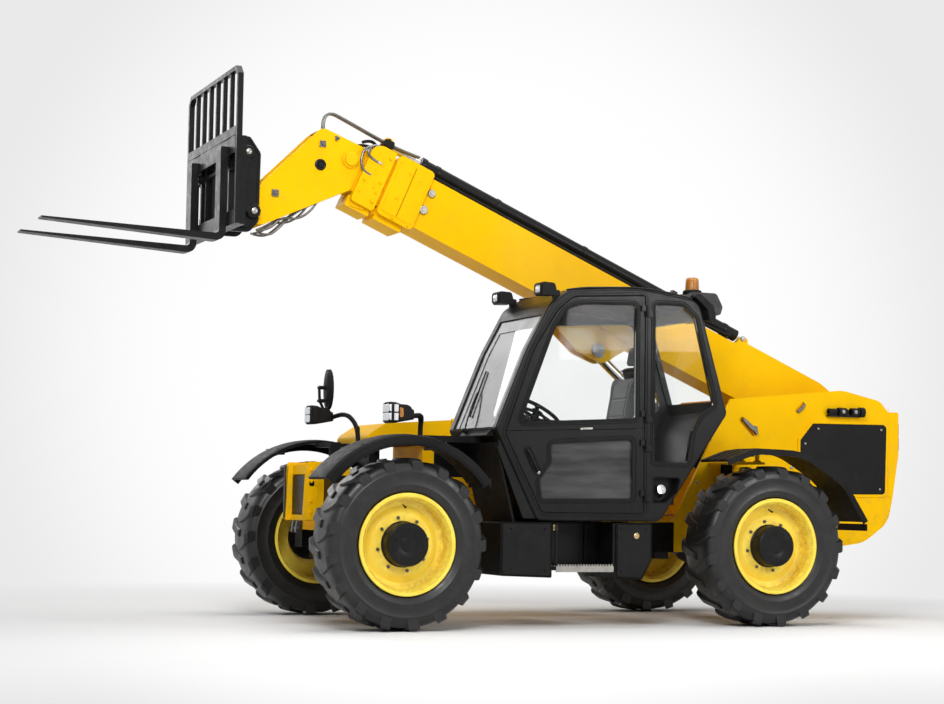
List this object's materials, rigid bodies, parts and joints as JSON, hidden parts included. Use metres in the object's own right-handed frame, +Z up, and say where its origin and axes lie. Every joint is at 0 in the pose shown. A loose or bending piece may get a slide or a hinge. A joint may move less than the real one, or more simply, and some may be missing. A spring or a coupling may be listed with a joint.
{
  "type": "telehandler",
  "caption": "Telescopic handler with a sectioned boom, fork carriage, side cab, steered lugged wheels and hinged doors and hood.",
  "frame": {"origin": "ground under the centre of the whole machine's box, forks included", "axes": "+Z up, -Y towards the fork tips, +X the machine's left side"},
  "size_m": [2.3, 6.88, 3.8616],
  "materials": {
    "body_yellow": "gloss paint",
    "rim_yellow": "satin paint",
    "tyre": "matte",
    "black_paint": "satin paint",
    "black_plastic": "matte",
    "chrome_rod": "polished",
    "clear_glass": "clear",
    "amber": "gloss",
    "engine_block": "matte",
    "seat_fabric": "woven"
  },
  "bodies": {
    "root": {"beacon": "amber", "boom_pin": "chrome_rod", "cab_glass": "clear_glass", "cab_shell": "black_paint", "chassis": "body_yellow", "controls": "black_plastic", "engine": "engine_block", "engine_pod": "body_yellow", "front_axle": "black_paint", "front_cover": "black_plastic", "front_fenders": "black_plastic", "lamps": "black_plastic", "lift_pin": "chrome_rod", "rear_axle": "black_paint", "rear_body": "body_yellow", "rear_fenders": "black_plastic", "seat_back": "seat_fabric", "seat_base": "black_plastic", "seat_cushion": "seat_fabric", "side_boxes": "black_paint", "side_panels": "black_paint", "tow_hitch": "black_paint", "windscreen": "clear_glass", "work_lamps": "black_plastic"},
    "hood_body": {"hood": "body_yellow"},
    "door_lower_body": {"door_lower": "black_paint", "door_lower_glass": "clear_glass"},
    "door_upper_body": {"door_upper": "black_paint", "door_upper_glass": "clear_glass"},
    "boom": {"outer_boom": "body_yellow", "telescope_barrel": "black_paint"},
    "boom_middle": {"middle_boom": "body_yellow", "telescope_rod": "chrome_rod"},
    "boom_inner": {"inner_boom": "body_yellow"},
    "lift_barrel_body": {"lift_barrel": "black_paint"},
    "lift_rod_body": {"lift_rod": "chrome_rod"},
    "tilt_barrel_body": {"tilt_barrel": "black_paint"},
    "tilt_rod_body": {"tilt_rod": "chrome_rod"},
    "carriage_body": {"carriage": "black_paint", "load_backrest": "black_paint", "forks": "black_paint"},
    "front_left_knuckle_body": {"front_left_knuckle": "black_paint"},
    "front_left_wheel": {"front_left_tyre": "tyre", "front_left_rim": "rim_yellow"},
    "front_right_knuckle_body": {"front_right_knuckle": "black_paint"},
    "front_right_wheel": {"front_right_tyre": "tyre", "front_right_rim": "rim_yellow"},
    "rear_left_knuckle_body": {"rear_left_knuckle": "black_paint"},
    "rear_left_wheel": {"rear_left_tyre": "tyre", "rear_left_rim": "rim_yellow"},
    "rear_right_knuckle_body": {"rear_right_knuckle": "black_paint"},
    "rear_right_wheel": {"rear_right_tyre": "tyre", "rear_right_rim": "rim_yellow"}
  },
  "joints": [
    {"name": "front_left_steer", "type": "hinge", "parent": "root", "child": "front_left_knuckle_body", "pos_m": [0.79, -1.04, 0.5875], "axis": [0, 0, 1], "range_deg": [-35, 35]},
    {"name": "front_left_roll", "type": "hinge", "parent": "front_left_knuckle_body", "child": "front_left_wheel", "pos_m": [0.948, -1.04, 0.5875], "axis": [1, 0, 0], "continuous": true},
    {"name": "front_right_steer", "type": "hinge", "parent": "root", "child": "front_right_knuckle_body", "pos_m": [-0.79, -1.04, 0.5875], "axis": [0, 0, 1], "range_deg": [-35, 35]},
    {"name": "front_right_roll", "type": "hinge", "parent": "front_right_knuckle_body", "child": "front_right_wheel", "pos_m": [-0.948, -1.04, 0.5875], "axis": [1, 0, 0], "continuous": true},
    {"name": "rear_left_steer", "type": "hinge", "parent": "root", "child": "rear_left_knuckle_body", "pos_m": [0.79, 1.848, 0.5875], "axis": [0, 0, 1], "range_deg": [-35, 35]},
    {"name": "rear_left_roll", "type": "hinge", "parent": "rear_left_knuckle_body", "child": "rear_left_wheel", "pos_m": [0.948, 1.848, 0.5875], "axis": [1, 0, 0], "continuous": true},
    {"name": "rear_right_steer", "type": "hinge", "parent": "root", "child": "rear_right_knuckle_body", "pos_m": [-0.79, 1.848, 0.5875], "axis": [0, 0, 1], "range_deg": [-35, 35]},
    {"name": "rear_right_roll", "type": "hinge", "parent": "rear_right_knuckle_body", "child": "rear_right_wheel", "pos_m": [-0.948, 1.848, 0.5875], "axis": [1, 0, 0], "continuous": true},
    {"name": "boom_lift", "type": "hinge", "parent": "root", "child": "boom", "pos_m": [0, 2.91, 1.582], "axis": [-1, 0, 0], "range_deg": [-25.2, 36.8]},
    {"name": "middle_extend", "type": "slide", "parent": "boom", "child": "boom_middle", "axis": [0, -0.9191, 0.3939], "range_m": [0, 2.6]},
    {"name": "inner_extend", "type": "slide", "parent": "boom_middle", "child": "boom_inner", "axis": [0, -0.9191, 0.3939], "range_m": [0, 2.6]},
    {"name": "lift_barrel_swing", "type": "hinge", "parent": "root", "child": "lift_barrel_body", "pos_m": [0, 2.56, 0.64], "axis": [-1, 0, 0], "range_deg": [-21.16, 30.68]},
    {"name": "lift_rod_slide", "type": "slide", "parent": "lift_barrel_body", "child": "lift_rod_body", "axis": [0, -0.7615, 0.6481], "range_m": [-0.3988, 0.5811]},
    {"name": "carriage_tilt", "type": "hinge", "parent": "boom_inner", "child": "carriage_body", "pos_m": [0, -1.892, 2.92207], "axis": [-1, 0, 0], "range_deg": [-85, 15]},
    {"name": "tilt_barrel_swing", "type": "hinge", "parent": "boom_inner", "child": "tilt_barrel_body", "pos_m": [0, -0.90835, 3.28383], "axis": [-1, 0, 0], "range_deg": [-4.75, 1.25]},
    {"name": "tilt_rod_slide", "type": "slide", "parent": "tilt_barrel_body", "child": "tilt_rod_body", "axis": [0, -0.9796, -0.2009], "range_m": [-0.0383, 0.2033]},
    {"name": "door_lower_hinge", "type": "hinge", "parent": "root", "child": "door_lower_body", "pos_m": [1.065, 0.81, 1], "axis": [0, 0, 1], "range_deg": [0, 95]},
    {"name": "door_upper_hinge", "type": "hinge", "parent": "root", "child": "door_upper_body", "pos_m": [1.065, 0.81, 1.8], "axis": [0, 0, 1], "range_deg": [0, 95]},
    {"name": "hood_hinge", "type": "hinge", "parent": "root", "child": "hood_body", "pos_m": [-0.36, 0.16, 1.5], "axis": [0, 1, 0], "range_deg": [0, 65]}
  ],
  "couplings": [
    {"joint": "front_right_steer", "follows": "front_left_steer", "ratio": 1},
    {"joint": "rear_right_steer", "follows": "rear_left_steer", "ratio": 1},
    {"joint": "inner_extend", "follows": "middle_extend", "ratio": 1},
    {"joint": "lift_barrel_swing", "follows": "boom_lift", "ratio": 0.82},
    {"joint": "lift_rod_slide", "follows": "boom_lift", "m_per_rad": 0.9},
    {"joint": "tilt_barrel_swing", "follows": "carriage_tilt", "ratio": 0.05},
    {"joint": "tilt_rod_slide", "follows": "carriage_tilt", "m_per_rad": -0.135}
  ]
}
